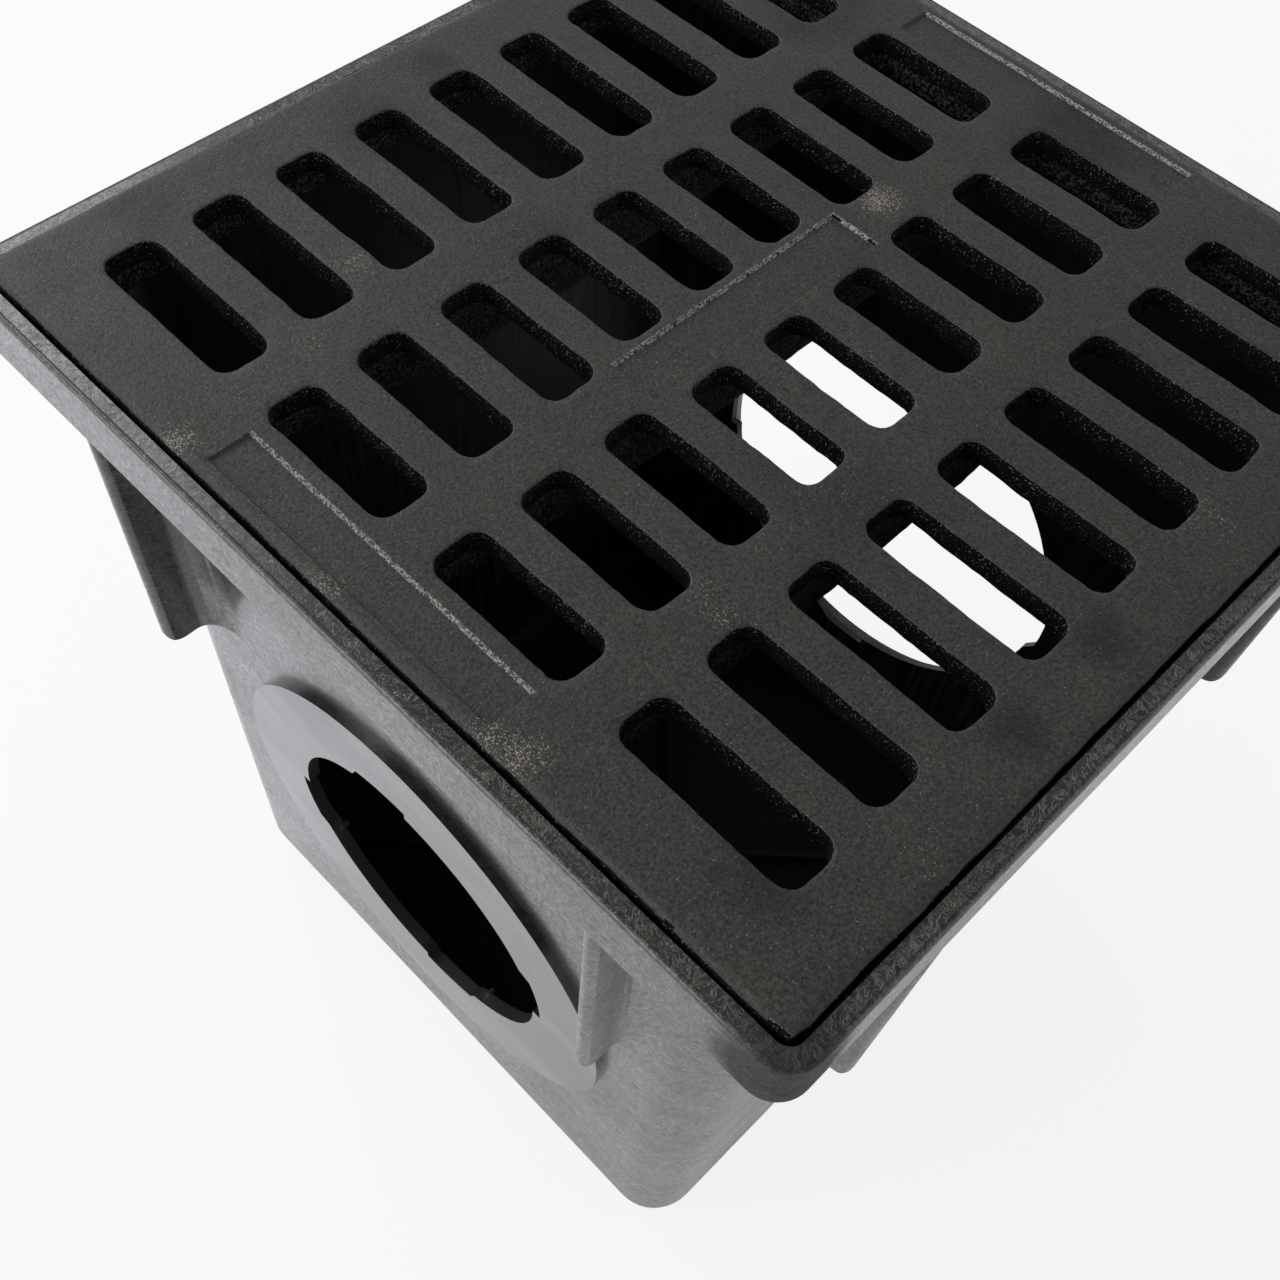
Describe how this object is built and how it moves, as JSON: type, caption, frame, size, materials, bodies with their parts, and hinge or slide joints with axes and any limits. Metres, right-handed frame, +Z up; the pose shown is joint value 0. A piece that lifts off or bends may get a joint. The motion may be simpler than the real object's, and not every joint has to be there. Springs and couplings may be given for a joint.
{
  "type": "catch basin with grate",
  "caption": "Square moulded plastic catch basin with a slotted cast iron grate resting in its rim and notched round outlets of differing size in its front and back walls.",
  "frame": {"origin": "middle of the basin's flat underside", "axes": "+Z up to the grate, -Y out of the front outlet, the grate's slots run along X"},
  "size_m": [0.3156, 0.3156, 0.34],
  "materials": {
    "moulded_plastic": "moulded, faintly swirled",
    "cast_iron": "sand cast, dip coated black"
  },
  "bodies": {
    "root": {"basin": "moulded_plastic", "grate": "cast_iron"}
  },
  "joints": []
}
